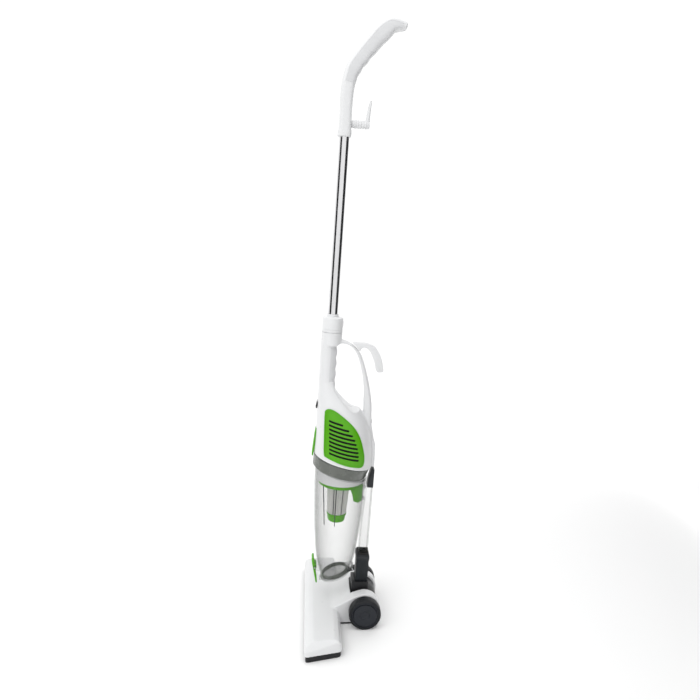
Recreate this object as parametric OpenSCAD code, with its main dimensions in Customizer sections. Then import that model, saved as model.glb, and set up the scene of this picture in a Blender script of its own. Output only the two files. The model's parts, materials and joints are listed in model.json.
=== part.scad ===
// Corded upright stick vacuum cleaner, standing parked with its body leaning back on its stop.
// Millimetres, +Z up, front of the cleaner towards -Y. The origin is on the floor, under the
// middle of the cleaner's bounding box.

/* [Overall] */
// Backward lean of the upright part on its parking stop, degrees
lean = 3.8; // [2:0.1:6]
// Distance from the origin back to the wheel axle
axle_y = 24.2; // [15:0.1:30]
// Height of the wheel axle, which is also the wheel radius
axle_z = 31.5; // [30:0.5:33]

/* [Floor head] */
// Width of the floor head along its front edge
head_w = 316; // [300:2:330]
// Width of the floor head along its rear edge
head_w_rear = 290; // [270:2:300]
// Distance from the axle forward to the head's front edge
head_front = 119; // [115:0.5:123]
// Distance from the axle forward to the wing's rear edge
wing_rear = 48; // [44:0.5:52]
// Height of the wing above the floor
wing_h = 36; // [34:0.5:40]
// Height of the black base plate's rim
base_h = 12; // [10:0.5:13]
// Half width of the white housing between the wheels
cheek_x = 48; // [46:0.5:49]

/* [Wheels] */
// Width of a rear wheel
wheel_w = 19.5; // [14:0.5:20]
// Distance from the middle of the cleaner to a wheel's inner face
wheel_x = 51; // [50.5:0.5:53]
// Radius of the steel wheel axle
axle_r = 4; // [3:0.5:5]
// Running clearance of a turning part on its pin
running = 0.05; // [0.03:0.01:0.1]

/* [Dust bin] */
// Distance from the axle forward to the bin's centre line
bin_y = 62; // [60:0.5:64]
// Wall of the clear bin
bin_wall = 2; // [1.6:0.1:2.5]
// Slope of the bin's bottom lid, degrees
lid_slope = 20; // [18:0.1:22]
// Slope of the joint between bin and motor housing, degrees
ring_slope = 12.3; // [11:0.1:13]

/* [Motor housing and grip] */
// Wall of the white shells
shell_wall = 2.5; // [2:0.1:3]
// Radius of the front grip column
grip_r = 15; // [14.5:0.1:15.5]
// Number of slots in each vent cover
vent_slots = 9; // [8:1:10]
// Distance between vent slots
vent_pitch = 7.35; // [7:0.05:7.5]

/* [Pole and handle] */
// Radius of the metal pole
pole_r = 9; // [8.5:0.1:9.5]
// Wall of the metal pole
pole_wall = 1; // [0.8:0.1:1.5]
// Height of the seam between the body and the pole collar
seam_z = 577; // [575:0.5:579]
// Half width of the top handle
handle_x = 13.5; // [12:0.5:15]

/* [Hidden] */
$fn = 64;
gap = 0.3;
pole_y = -97.5;
white = "whitesmoke";
lime = [0.42, 0.74, 0.07];
black = [0.09, 0.09, 0.1];
dark = [0.24, 0.26, 0.27];
steel = "silver";
smoke = [0.72, 0.74, 0.72, 0.45];

// ---------------------------------------------------------------- helpers

function unit(v) = v / norm(v);

// Catmull-Rom point between b and c
function spline(a, b, c, d, t) =
  0.5 * (2 * b + (c - a) * t + (2 * a - 5 * b + 4 * c - d) * t * t
  + (3 * b - a - 3 * c + d) * t * t * t);

// A closed smooth outline through the given points
function smooth_loop(p, n = 4) = let(m = len(p))
  [for (i = [0:m - 1]) for (k = [0:n - 1])
    spline(p[(i + m - 1) % m], p[i], p[(i + 1) % m], p[(i + 2) % m], k / n)];

// A polygon whose corners are rounded from a set-back r along each side
function round_corners(p, r, n = 4) = let(m = len(p))
  [for (i = [0:m - 1])
    let(b = p[i], s = b + unit(p[(i + m - 1) % m] - b) * r, e = b + unit(p[(i + 1) % m] - b) * r)
    for (k = [0:n]) let(t = k / n) (1 - t) * (1 - t) * s + 2 * t * (1 - t) * b + t * t * e];

function arc(c, r, from, to, n = 16) =
  [for (k = [0:n]) let(a = from + (to - from) * k / n) c + r * [cos(a), sin(a)]];

// A side outline in (y, z) given thickness along X, centred, or from x0 to x1
module side(p, x0, x1) {
  translate([x0, 0, 0]) rotate([90, 0, 90]) linear_extrude(x1 - x0) polygon(p);
}

module both_sides(p, x) {
  side(p, -x, x);
}

// A cylinder along X from x0 to x1 at (y, z)
module x_rod(r, x0, x1, y, z) {
  translate([x0, y, z]) rotate([0, 90, 0]) cylinder(r = r, h = x1 - x0);
}

// A box from two corners
module block(a, b) {
  translate(a) cube(b - a);
}

// Parts of the floor head are drawn with y measured from the axle
module on_head() {
  translate([0, axle_y, 0]) children();
}

// Parts of the upright are drawn as if it stood plumb, with y measured from the axle
module upright() {
  translate([0, axle_y, axle_z]) rotate([-lean, 0, 0]) translate([0, 0, -axle_z]) children();
}

// Local frame of the bin's bottom lid: +Y runs up the slope to the rear, -Z faces out
lid_mid = [0, -61.5, 80.9];
module lid_frame() {
  translate(lid_mid) rotate([lid_slope, 0, 0]) children();
}

// Local frame of the sloped joint on top of the bin's ring, whose front is high
ring_mid = [0, -61, 328.5];
module ring_frame() {
  translate(ring_mid) rotate([-ring_slope, 0, 0]) children();
}

// ---------------------------------------------------------------- floor head

wing_outer = [[-head_front, base_h], [-head_front + 0.6, 20], [-head_front + 4, 27],
  [-head_front + 10, 32], [-head_front + 18, 35], [-wing_rear - 14, wing_h],
  [-wing_rear - 6, 33], [-wing_rear - 2, 26], [-wing_rear, base_h]];
wing_inner = [[-head_front + 3, base_h - 1], [-head_front + 3.5, 19], [-head_front + 6.5, 25],
  [-head_front + 12, 29.5], [-head_front + 19, 32], [-wing_rear - 15, wing_h - 3],
  [-wing_rear - 8, 30.5], [-wing_rear - 5, 25], [-wing_rear - 3, base_h - 1]];
fairing = concat([[-78, base_h], [-78, 34], [-62, 37], [-48, 43], [-34, 51], [-22, 57.6]],
  arc([0, axle_z], 31.2, 110, -52, 20), [[12, 3.3], [-wing_rear, 3.3]]);
boss_places = [[-118, -64], [118, -64]];
cheek_screw_places = [[-38, -8], [38, -8]];
roller_places = [-96, 96];
roller_y = -62;
roller_r = 7;
roller_pin_r = 1.5;
barrel_r = 27;
barrel_x = 27;
journal_r = 14;
journal_x = 35.5;

function wing_plan(inset) = round_corners([
  [-head_w / 2 + inset, -head_front + inset], [head_w / 2 - inset, -head_front + inset],
  [head_w_rear / 2 - inset, -wing_rear - inset], [-head_w_rear / 2 + inset, -wing_rear - inset]],
  max(9 - inset, 2));

// The wing's outline seen from the front, with a sloping facet at each end
function wing_front(inset) = let(x = head_w / 2 - inset, top = wing_h + 1 - inset)
  [[-x, base_h - 2], [x, base_h - 2], [x, 20], [x - 17, top], [-x + 17, top], [-x, 20]];

module wing(profile, inset, bottom) {
  intersection() {
    both_sides(profile, head_w / 2);
    translate([0, 0, bottom]) linear_extrude(60) polygon(wing_plan(inset));
    rotate([90, 0, 0]) linear_extrude(head_front + 5) polygon(wing_front(inset));
  }
}

module head_shell() {
  color(white) on_head() difference() {
    union() {
      difference() {
        wing(wing_outer, 0, base_h);
        wing(wing_inner, 3, base_h - 1);
      }
      both_sides(fairing, cheek_x);
      for (p = boss_places)
        translate([p[0], p[1], base_h]) cylinder(r = 4, h = wing_h - base_h - 1.5);
    }
    x_rod(barrel_r + 0.6, -barrel_x - 0.5, barrel_x + 0.5, 0, axle_z);
    block([-barrel_x - 0.5, -26, 8], [barrel_x + 0.5, 40, 80]);
    block([-22, -76, base_h - 1], [22, -20, 33]);
    x_rod(journal_r + running, -journal_x - 0.3, journal_x + 0.3, 0, axle_z);
    x_rod(axle_r, -cheek_x - 1, cheek_x + 1, 0, axle_z);
    for (p = boss_places) translate([p[0], p[1], 0]) cylinder(r = 1.6, h = 24);
    for (p = cheek_screw_places) translate([p[0], p[1], 0]) cylinder(r = 1.6, h = 12);
  }
}

module roller_rib(x) {
  block([x - 1.2, roller_y - 4, 2.9], [x + 1.2, roller_y + 4, 10.5]);
}

module base_plate() {
  color(black) on_head() difference() {
    union() {
      linear_extrude(3) polygon(wing_plan(2.5));
      linear_extrude(base_h - 0.2) difference() {
        polygon(wing_plan(2.5));
        polygon(wing_plan(5.5));
      }
      block([-cheek_x + 1, -wing_rear - 4, 0], [cheek_x - 1, 10, 3]);
      for (x = roller_places) for (s = [-1, 1]) roller_rib(x + s * 7.4);
    }
    block([-136, -106, -1], [136, -86, 4]);
    block([-cheek_x - gap, -wing_rear - 5.7, 3], [cheek_x + gap, -wing_rear - 2, base_h]);
    for (x = roller_places) block([x - 5.8, roller_y - 9, -1], [x + 5.8, roller_y + 9, 20]);
    for (x = roller_places) x_rod(roller_pin_r, x - 12, x + 12, roller_y, roller_r);
    for (p = concat(boss_places, cheek_screw_places)) translate([p[0], p[1], -1]) {
      cylinder(r = 1.6, h = 5);
      cylinder(r = 3.4, h = 2.2);
    }
    for (y = [-111.5, -80]) block([-134, y - 2.5, -1], [134, y + 2.5, 1.4]);
  }
}

module lint_strips() {
  color("firebrick") on_head()
    for (y = [-111.5, -80]) block([-133.8, y - 2.3, 0], [133.8, y + 2.3, 1.4]);
}

module base_screws() {
  color(steel) on_head()
    for (p = concat(boss_places, cheek_screw_places)) translate([p[0], p[1], 0.4]) {
      cylinder(r = 3.2, h = 0.8);
      cylinder(r = 1.55, h = 11);
    }
}

module wheel_axles() {
  color(steel) on_head() for (s = [0, 1]) mirror([s, 0, 0]) {
    x_rod(axle_r, 37, wheel_x + wheel_w - 4, 0, axle_z);
    x_rod(axle_r + 2.5, wheel_x + wheel_w - 4, wheel_x + wheel_w - 2.4, 0, axle_z);
  }
}

module roller_pins() {
  color(steel) on_head()
    for (x = roller_places) x_rod(roller_pin_r, x - 8.6, x + 8.6, roller_y, roller_r);
}

module roller(x) {
  color(dark) on_head() difference() {
    x_rod(roller_r, x - 5, x + 5, roller_y, roller_r);
    x_rod(roller_pin_r + running, x - 6, x + 6, roller_y, roller_r);
  }
}
module roller_left() { roller(roller_places[1]); }
module roller_right() { roller(roller_places[0]); }

hub_r = 27.5;

// A wheel's moulded hub, drawn on the left: rim, web, bearing boss and a closing disc
module wheel_hub() {
  color(dark) on_head() difference() {
    x_rod(hub_r, wheel_x, wheel_x + wheel_w, 0, axle_z);
    x_rod(24, wheel_x + 3, wheel_x + wheel_w - 8, 0, axle_z);
    x_rod(axle_r + running, wheel_x - 1, wheel_x + wheel_w - 5, 0, axle_z);
    x_rod(axle_r + 3, wheel_x + wheel_w - 5, wheel_x + wheel_w - 2, 0, axle_z);
    translate([wheel_x + wheel_w - 1.2, 0, axle_z]) rotate([0, 90, 0]) difference() {
      cylinder(r = 24.6, h = 3);
      translate([0, 0, -1]) cylinder(r = 23, h = 5);
    }
  }
}

module wheel_tyre() {
  color(black) on_head() difference() {
    x_rod(axle_z, wheel_x + 0.5, wheel_x + wheel_w - 0.5, 0, axle_z);
    x_rod(hub_r, wheel_x - 1, wheel_x + wheel_w + 1, 0, axle_z);
  }
}
module wheel_hub_left() { wheel_hub(); }
module wheel_tyre_left() { wheel_tyre(); }
module wheel_hub_right() { mirror([1, 0, 0]) wheel_hub(); }
module wheel_tyre_right() { mirror([1, 0, 0]) wheel_tyre(); }

// ---------------------------------------------------------------- neck and air path

duct_x = 11;
duct_front = -15.5;
duct_rear = 3;
duct_wall = 1.8;
socket_z = 129;
duct_top = 273;

// The neck's rectangular outline at one height, grown by g
module neck_slice(x, y0, y1, z, h, g = 0) {
  block([-x - g, y0 - g, z], [x + g, y1 + g, z + h]);
}

module neck_barrel() {
  color(black) upright() difference() {
    union() {
      x_rod(barrel_r, -barrel_x, barrel_x, 0, axle_z);
      x_rod(journal_r, -journal_x, journal_x, 0, axle_z);
      neck_slice(18, -25.5, 7.5, 44, 28);
    }
    x_rod(23.5, -barrel_x + 3, barrel_x - 3, 0, axle_z);
    neck_slice(14.8, -18.9, 6.2, 66, 10);
    neck_slice(duct_x - 2, duct_front + 2, duct_rear - 2, 40, 40);
    block([-17, -30, 19], [17, -12, 40]);
  }
}

module connector() {
  color(dark) upright() difference() {
    union() {
      neck_slice(14.6, -18.7, 6, 66.2, socket_z - 66.2);
      neck_slice(16, -20, 6.6, 118, 9);
    }
    neck_slice(duct_x - 2, duct_front + 2, duct_rear - 2, 60, 80);
    neck_slice(duct_x, duct_front, duct_rear, 104, 40, 0.1);
    block([-5.2, 2.5, 87], [5.2, 8, 101.2]);
  }
}

module head_release_button() {
  color(black) upright() block([-4.9, 4.6, 87.4], [4.9, 8.4, 100.8]);
}

// The duct's front line follows the flaring wall of the bin
duct_line = [[duct_front, 165], [-14.8, 196], [-12.6, 235], [-11.2, 252]];
duct_neck = -10.9;
duct_side = concat([[duct_front, 104.2]], duct_line,
  [[duct_neck, duct_top], [duct_rear, duct_top], [duct_rear, 104.2]]);
duct_bore = concat([[duct_front + duct_wall, 100]], [for (p = duct_line) [p[0] + duct_wall, p[1]]],
  [[duct_neck + duct_wall, duct_top - duct_wall], [duct_rear - duct_wall, duct_top - duct_wall],
  [duct_rear - duct_wall, 100]]);

module suction_duct() {
  color(smoke) upright() difference() {
    union() {
      both_sides(duct_side, duct_x);
      block([-9, -17, 246], [9, -9.5, 270]);
    }
    both_sides(duct_bore, duct_x - duct_wall);
    block([-7.5, -20, 247.5], [7.5, -8, 268.5]);
  }
}

module duct_cap() {
  color(dark) upright()
    both_sides([[-9, duct_top + 0.2], [3, duct_top + 0.2], [3, 311], [-2.2, 311], [-7, 288]], 12.5);
}

module duct_seal() {
  color(black) upright() difference() {
    neck_slice(duct_x, duct_front, duct_rear, socket_z + 0.1, 3, 2);
    neck_slice(duct_x, duct_front, duct_rear, socket_z - 1, 6, 0.1);
  }
}

// ---------------------------------------------------------------- dust bin

bin_outer = [[26, 66], [28, 82], [31.6, 94], [35, 107], [38.2, 120], [40.2, 132], [42.6, 153],
  [46.4, 196], [48.8, 239], [51, 285], [52, 345]];

function bin_inner() = [for (p = bin_outer) [p[0] - bin_wall, p[1]]];

// The lid's hinge pin in the lid's frame, just behind the cup's wall
pin_r = 1.5;
hinge_y = 39.6;
hinge_z = 2.6;
latch_pivot = [-101.5, 97];
latch_lug = [[-88.6, 90], [-104.5, 92.5], [-104.5, 101], [-93.1, 104]];

// Everything above the lid's plane and below the ring's lower plane
ring_h = 24.4;
module bin_span() {
  intersection() {
    lid_frame() translate([-100, -300, 0]) cube([200, 600, 500]);
    ring_frame() translate([-100, -300, -ring_h - 500]) cube([200, 600, 500]);
  }
}

// The round solid under a profile, closed on the bin's centre line
module bin_turned(profile) {
  translate([0, -bin_y, 0]) rotate_extrude()
    polygon(concat([[0, profile[0][1]]], profile, [[0, profile[len(profile) - 1][1]]]));
}

module bin_cup() {
  color(smoke) upright() difference() {
    union() {
      intersection() {
        bin_turned(bin_outer);
        bin_span();
      }
      for (s = [-1, 1]) {
        side(latch_lug, s * 11.6 - 1.3, s * 11.6 + 1.3);
        lid_frame() block([s * 12 - 2.5, 29.5, 0.5], [s * 12 + 2.5, hinge_y + 3.4, 6]);
      }
    }
    bin_turned(bin_inner());
    block([-9.3, -20, 245.7], [9.3, 0, 270.3]);
    x_rod(pin_r, -20, 20, latch_pivot[0], latch_pivot[1]);
    lid_frame() x_rod(pin_r, -20, 20, hinge_y, hinge_z);
  }
}

module bin_ring() {
  color(dark) upright() ring_frame() rotate_extrude()
    polygon([[50.4, -ring_h], [53, -ring_h], [53.6, -ring_h + 2], [56.6, -4], [57.4, -3],
      [57.4, -gap], [50.4, -gap]]);
}

filter_y = -65;

// The lime plate above the dust, with the hood that takes the air from the duct
module cyclone_disc() {
  color(lime) upright() difference() {
    union() {
      translate([0, -bin_y, 278]) cylinder(r = 43, h = 8);
      block([-13, -41.8, 240], [13, -17.5, 279]);
    }
    translate([0, -bin_y, 280]) cylinder(r = 41, h = 8);
    translate([0, filter_y, 270]) cylinder(r = 19, h = 20);
    block([-14, -39.8, 242], [11, -10, 276]);
  }
}

module pleated_filter() {
  color("gainsboro") upright() translate([0, filter_y, 0]) difference() {
    translate([0, 0, 215]) cylinder(r1 = 19, r2 = 22.5, h = 62.8);
    translate([0, 0, 214]) cylinder(r = 15, h = 66);
  }
}

module filter_cap() {
  color(lime) upright() translate([0, filter_y, 198]) cylinder(r1 = 17, r2 = 19.5, h = 16.8);
}

module foam_holder() {
  color(white) upright() ring_frame() difference() {
    translate([0, 0, -17]) cylinder(r = 50, h = 3);
    translate([0, 0, -18]) cylinder(r = 30, h = 6);
  }
}

module premotor_foam() {
  color("dimgray") upright() ring_frame() translate([0, 0, -13.8]) cylinder(r = 47, h = 12);
}

module latch_pin() {
  color(steel) upright() x_rod(pin_r, -12.9, 12.9, latch_pivot[0], latch_pivot[1]);
}

module lid_hinge_pin() {
  color(steel) upright() lid_frame() x_rod(pin_r, -14.5, 14.5, hinge_y, hinge_z);
}

// The lid is an ellipse, as the round cup is cut at a slope
lid_x = 27.9;
lid_long = 30.7;
lid_y = 1.8;
lid_h = 3.4;
lid_gap = 0.4;

module bin_lid() {
  color(smoke) upright() difference() {
    lid_frame() {
      translate([0, lid_y, -lid_h]) scale([lid_x, lid_long, 1]) cylinder(r = 1, h = lid_h - lid_gap);
      block([-8, -32, -lid_h], [8, -25, -lid_gap]);
      block([-9, 28, -lid_h], [9, hinge_y + 2, -lid_gap]);
      block([-9, hinge_y - 2.2, -lid_h], [9, hinge_y + 2, hinge_z]);
      x_rod(3.2, -9, 9, hinge_y, hinge_z);
    }
    lid_frame() x_rod(pin_r + running, -20, 20, hinge_y, hinge_z);
  }
}

// A soft skirt on the lid that reaches up into the cup
module lid_seal() {
  color(black) upright() lid_frame() translate([0, lid_y + 0.6, -lid_gap]) difference() {
    scale([24.2, 26.8, 1]) cylinder(r = 1, h = 7.4);
    translate([0, 0, -1]) scale([22, 24.6, 1]) cylinder(r = 1, h = 10);
  }
}

latch_side = smooth_loop([[-104.6, 116.5], [-108.4, 115.6], [-108, 108], [-104.9, 94],
  [-101.2, 78], [-98.4, 65], [-97, 62.8], [-95.4, 64.6], [-97.4, 76], [-99.6, 87], [-99.2, 92],
  [-98, 97], [-99.2, 101.5], [-103, 105.5]], 2);

module lid_latch() {
  color(lime) upright() difference() {
    both_sides(latch_side, 9.8);
    x_rod(pin_r + running, -20, 20, latch_pivot[0], latch_pivot[1]);
  }
}

// ---------------------------------------------------------------- motor

motor_y = -61;

module fan_housing() {
  color("gray") upright() translate([0, motor_y, 345]) difference() {
    cylinder(r = 35.5, h = 20);
    translate([0, 0, 2]) cylinder(r = 34, h = 16);
    translate([0, 0, -1]) cylinder(r = 12, h = 6);
    translate([0, 0, 10]) cylinder(r = 10, h = 20);
  }
}

module motor_can() {
  color("slategray") upright() translate([0, motor_y, 365.2]) difference() {
    cylinder(r = 26, h = 42);
    translate([0, 0, 2]) cylinder(r = 24, h = 38);
    translate([0, 0, -1]) cylinder(r = 3 + running, h = 50);
  }
}

module motor_mount() {
  color(black) upright() translate([0, motor_y, 392]) difference() {
    cylinder(r = 31, h = 12);
    translate([0, 0, -1]) cylinder(r = 26.1, h = 20);
  }
}

module motor_shaft() {
  color(steel) upright() translate([0, motor_y, 348.5]) {
    cylinder(r = 3, h = 62);
    translate([0, 0, 26]) cylinder(r = 16, h = 26);
  }
}

module impeller() {
  color("lightgray") upright() translate([0, motor_y, 349]) difference() {
    union() {
      cylinder(r = 33, h = 1.5);
      cylinder(r = 6, h = 11);
      for (a = [0:45:315]) rotate(a) block([5, -0.8, 0], [32, 0.8, 9]);
    }
    translate([0, 0, -1]) cylinder(r = 3, h = 20);
  }
}

// ---------------------------------------------------------------- body shells

// Elliptical sections of the motor housing: height, front y, rear y, half width
housing = [[300, -118, -4, 57], [341, -117.5, -3.5, 57], [367, -116.4, -6.5, 55],
  [393, -116, -13, 49.5], [415, -116, -23, 41.5], [436, -116.3, -38, 32.5],
  [458, -116.3, -64, 23], [482, -116.3, -84, 15.5]];

module housing_slice(s, g) {
  translate([0, (s[1] + s[2]) / 2, s[0]])
    scale([s[3] + g, (s[2] - s[1]) / 2 + g, 1]) cylinder(r = 1, h = 0.1, $fn = 40);
}

module housing_form(g, first = 0, last = len(housing) - 1) {
  for (i = [first:last - 1]) hull() {
    housing_slice(housing[i], g);
    housing_slice(housing[i + 1], g);
  }
}

// Outline of the rear strap with the arch over the finger loop
strap_outer = concat([[1.8, 314], [1.8, 337], [0.5, 362], [-1.5, 368], [-7.5, 373]],
  [[-8.6, 385], [-13.7, 428], [-22.1, 477], [-32.5, 516.5], [-44, 544.5], [-56, 558],
  [-68, 562], [-77.5, 563], [-100, 563]]);
strap_inner = [[-100, 556], [-73.3, 556.5], [-57.8, 551], [-45.3, 533.5], [-35.7, 505.5],
  [-29.8, 477], [-27.8, 457.5], [-26, 440], [-30, 400], [-20, 314]];
strap = concat(strap_outer, strap_inner);

// The opening that the fingers go through, wavy along the grip
loop_hole = smooth_loop([[-87, 550], [-85.6, 539], [-87.4, 528], [-85.4, 517], [-87.3, 506],
  [-85.2, 495], [-87.2, 484], [-86.6, 472], [-81, 460.5], [-71, 448.5], [-60, 437],
  [-47.6, 429.3], [-36, 430.5], [-29.6, 440], [-28, 457.5], [-29.8, 477], [-35.7, 505.5],
  [-45.3, 533.5], [-57.8, 551], [-72, 556.5], [-82, 555.5]], 3);

// The panel that carries the exhaust slots
vent_outline = smooth_loop([[-102.4, 424], [-100.6, 431.6], [-94.9, 434.9], [-84.9, 433.3],
  [-72, 426], [-56.4, 414.7], [-42.9, 401.3], [-32.9, 384.8], [-26.5, 365.5], [-22.8, 349.2],
  [-22.8, 334.6], [-27.9, 329.1], [-38.6, 330.2], [-59.4, 334.6], [-79.7, 340.8], [-94.8, 345.6],
  [-99.8, 350], [-101.4, 381]], 3);
vent_field = [[-92.5, 420], [-80, 414], [-71, 409.5], [-57, 398.5], [-49.3, 389.5], [-44, 381],
  [-40.5, 372], [-38.2, 364.5], [-36.2, 357], [-35.2, 350], [-34.8, 340], [-60, 347], [-88, 356],
  [-91.8, 362]];

function around(p, c, k) = [for (q = p) c + (q - c) * k];
vent_mid = [-62, 382];

grip_y = -101.4;
collar_y = -96.8;
collar_r = 19.2;
collar_h = 27;
spigot_y = pole_y - 2;
spigot_r = 10;
screw_places = [[-10, 405, 9], [-25, 490, 9], [-101.5, 462, 13], [-6, 340, 9]];
gland_z = 352;

// Solid outer form of both shells, without hollows
module body_form() {
  difference() {
    union() {
      housing_form(0);
      translate([0, grip_y, 430]) cylinder(r = grip_r, h = seam_z - 430);
      translate([0, collar_y, 552]) cylinder(r = collar_r, h = seam_z - 552);
      both_sides(strap, 9);
    }
    both_sides(loop_hole, 40);
    ring_frame() translate([-100, -150, -200]) cube([200, 300, 200]);
  }
}

module body_shell() {
  difference() {
    intersection() {
      body_form();
      block([0, -140, 290], [80, 40, 600]);
    }
    intersection() {
      housing_form(-shell_wall, 0, 6);
      block([-80, -140, 300], [80, -25, 458]);
    }
    translate([0, grip_y, 470]) cylinder(r = grip_r - shell_wall, h = 52);
    translate([0, spigot_y, 531]) cylinder(r = spigot_r + running, h = 60);
    side(around(vent_outline, vent_mid, 1.008), 12, 80);
    block([-9.6, -130, 342], [9.6, -108, 389.6]);
    block([-4.2, -130, 430], [4.2, -108, 448]);
    translate([0, 10, gland_z]) rotate([90, 0, 0]) cylinder(r = 5, h = 24);
    translate([0, 10, gland_z]) rotate([90, 0, 0]) cylinder(r = 6.6, h = 9.75);
  }
}

// Pilot holes and head recesses of the screws that hold the two shells together
module body_screw_holes() {
  for (p = screw_places) {
    x_rod(1.6, -30, 7, p[0], p[1]);
    x_rod(3.3, -30, -p[2] + 3, p[0], p[1]);
  }
}

module body_shell_left() {
  color(white) upright() difference() {
    body_shell();
    body_screw_holes();
  }
}
module body_shell_right() {
  color(white) upright() difference() {
    mirror([1, 0, 0]) body_shell();
    body_screw_holes();
  }
}

module vent_cover() {
  difference() {
    intersection() {
      housing_form(0.8, 1, 6);
      side(vent_outline, 12.5, 80);
      ring_frame() translate([-100, -150, gap]) cube([200, 300, 200]);
    }
    housing_form(-shell_wall, 0, 6);
    intersection() {
      for (k = [0:vent_slots - 1])
        translate([0, -92, 413.7 - k * vent_pitch]) rotate([-12.9, 0, 0])
          block([10, -6, -1.9], [80, 70, 1.9]);
      side(vent_field, 10, 80);
    }
  }
}
module vent_cover_left() { color(lime) upright() vent_cover(); }
module vent_cover_right() { color(lime) upright() mirror([1, 0, 0]) vent_cover(); }

module exhaust_foam() {
  difference() {
    intersection() {
      housing_form(-shell_wall - 0.3, 1, 5);
      side(around(vent_outline, vent_mid, 0.9), 14, 80);
    }
    housing_form(-shell_wall - 5, 0, 6);
  }
}
module exhaust_foam_left() { color(black) upright() exhaust_foam(); }
module exhaust_foam_right() { color(black) upright() mirror([1, 0, 0]) exhaust_foam(); }

release_pivot = [-113.5, 367];
release_side = [[-121.4, 333.5], [-120.8, 346], [-119.2, 364], [-117.8, 381], [-116.6, 388],
  [-112.5, 388], [-112, 367], [-113, 346], [-117.6, 344], [-118.9, 333.5]];

module bin_release_button() {
  color(lime) upright() difference() {
    both_sides(release_side, 9);
    x_rod(pin_r + running, -20, 20, release_pivot[0], release_pivot[1]);
  }
}

module release_pin() {
  color(steel) upright() x_rod(pin_r, -9.4, 9.4, release_pivot[0], release_pivot[1]);
}

module power_switch() {
  color(black) upright() {
    both_sides([[-116.7, 428], [-118.7, 428], [-119.4, 430], [-117.1, 443], [-116.7, 443]], 6);
    block([-3.6, -116.8, 431], [3.6, -110.5, 439]);
  }
}

module switch_block() {
  color("dimgray") upright() block([-7, -109.8, 425], [7, -99, 449]);
}

module lower_cord_hook() {
  color(white) upright() both_sides(smooth_loop([[-56.5, 559], [-44, 559.6], [-30, 558.8],
    [-14.2, 553], [-5, 541], [1, 528], [4.4, 513], [4.9, 506], [-1, 504.6], [-7.6, 506],
    [-11.4, 520], [-18.7, 536.7], [-25, 546], [-33, 551], [-39.5, 548.5], [-42.4, 543.6],
    [-49.5, 552.2]], 3), 6);
}

module cord_gland() {
  color(black) upright() translate([0, 1.1, gland_z]) rotate([90, 0, 0]) difference() {
    union() {
      cylinder(r = 6.5, h = 0.7);
      cylinder(r = 4.9, h = 12);
    }
    translate([0, 0, -1]) cylinder(r = 3.4, h = 20);
  }
}

module body_screws() {
  color(steel) upright() for (p = screw_places) {
    x_rod(1.55, -p[2] + 3.1, 6.5, p[0], p[1]);
    x_rod(3.1, -p[2] + 1.2, -p[2] + 2.9, p[0], p[1]);
  }
}

// ---------------------------------------------------------------- pole and handle

module pole_collar() {
  color(white) upright() difference() {
    union() {
      translate([0, collar_y, seam_z + gap]) cylinder(r = collar_r, h = collar_h);
      translate([0, collar_y, seam_z + gap + collar_h]) cylinder(r1 = 18.6, r2 = 11.5, h = 3);
      translate([0, collar_y, seam_z + gap + collar_h]) cylinder(r = 10.8, h = 6.6);
      translate([0, spigot_y, 532]) cylinder(r = spigot_r, h = 50);
    }
    translate([0, pole_y, 582]) cylinder(r = pole_r, h = 40);
    translate([0, spigot_y, 520]) cylinder(r = 6, h = 60);
    block([-6.3, -84, 586.7], [6.3, -70, 600.3]);
  }
}

module pole_release_button() {
  color(white) upright() block([-6, -80.8, 587], [6, -76.6, 600]);
}

module pole_tube() {
  color(steel) upright() translate([0, pole_y, 582.2]) difference() {
    cylinder(r = pole_r, h = 370);
    translate([0, 0, -1]) cylinder(r = pole_r - pole_wall, h = 380);
  }
}

// Centre line of the handle: y, z and half thickness
handle_line = [[-98.2, 926.5, 11.8], [-98, 946, 11.4], [-98.2, 968, 11], [-98.3, 996, 11.6],
  [-96.6, 1017, 12.2], [-91, 1037, 13.8], [-83, 1051.5, 14.1], [-69.2, 1070.4, 14.5],
  [-55.9, 1087.7, 14.4], [-43.5, 1102, 15.2], [-30.5, 1114, 13.6], [-19.5, 1116.6, 10.6],
  [-9.6, 1115.9, 7.6], [-4.5, 1115, 5.5]];

function handle_dir(i) = let(n = len(handle_line) - 1, a = handle_line[max(i - 1, 0)],
  b = handle_line[min(i + 1, n)]) i == 0 ? [0, 1] : unit([b[0] - a[0], b[1] - a[1]]);

// One edge of the handle, on side s, with the wall w taken off
function handle_edge(s, w) = [for (i = [0:len(handle_line) - 1])
  let(d = handle_dir(i), c = handle_line[i])
  [c[0] - s * d[1] * (c[2] - w), c[1] + s * d[0] * (c[2] - w)]];

function backwards(p) = [for (i = [len(p) - 1:-1:0]) p[i]];

function fine_path(p, n = 3) = let(m = len(p) - 1) concat([for (i = [0:m - 1])
  for (k = [0:n - 1]) spline(p[max(i - 1, 0)], p[i], p[i + 1], p[min(i + 2, m)], k / n)],
  [p[m]]);

tip_nose = [[-2.2, 1118.5], [-1.2, 1114.5], [-2.5, 1111.5]];
handle_outline = concat(fine_path(handle_edge(1, 0)), tip_nose,
  backwards(fine_path(handle_edge(-1, 0))));
handle_hollow = let(a = fine_path(handle_edge(1, 3)), b = fine_path(handle_edge(-1, 3)),
  m = len(a) - 1, from = 9)
  concat([for (i = [from:m]) a[i]], [for (i = [m:-1:from]) b[i]]);

hook_axis_z = 949.5;
hook_root = -86.2;
hook_screw_r = 2.5;
handle_screw_places = [[-98, 985], [-70, 1069], [-30, 1112]];

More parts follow.
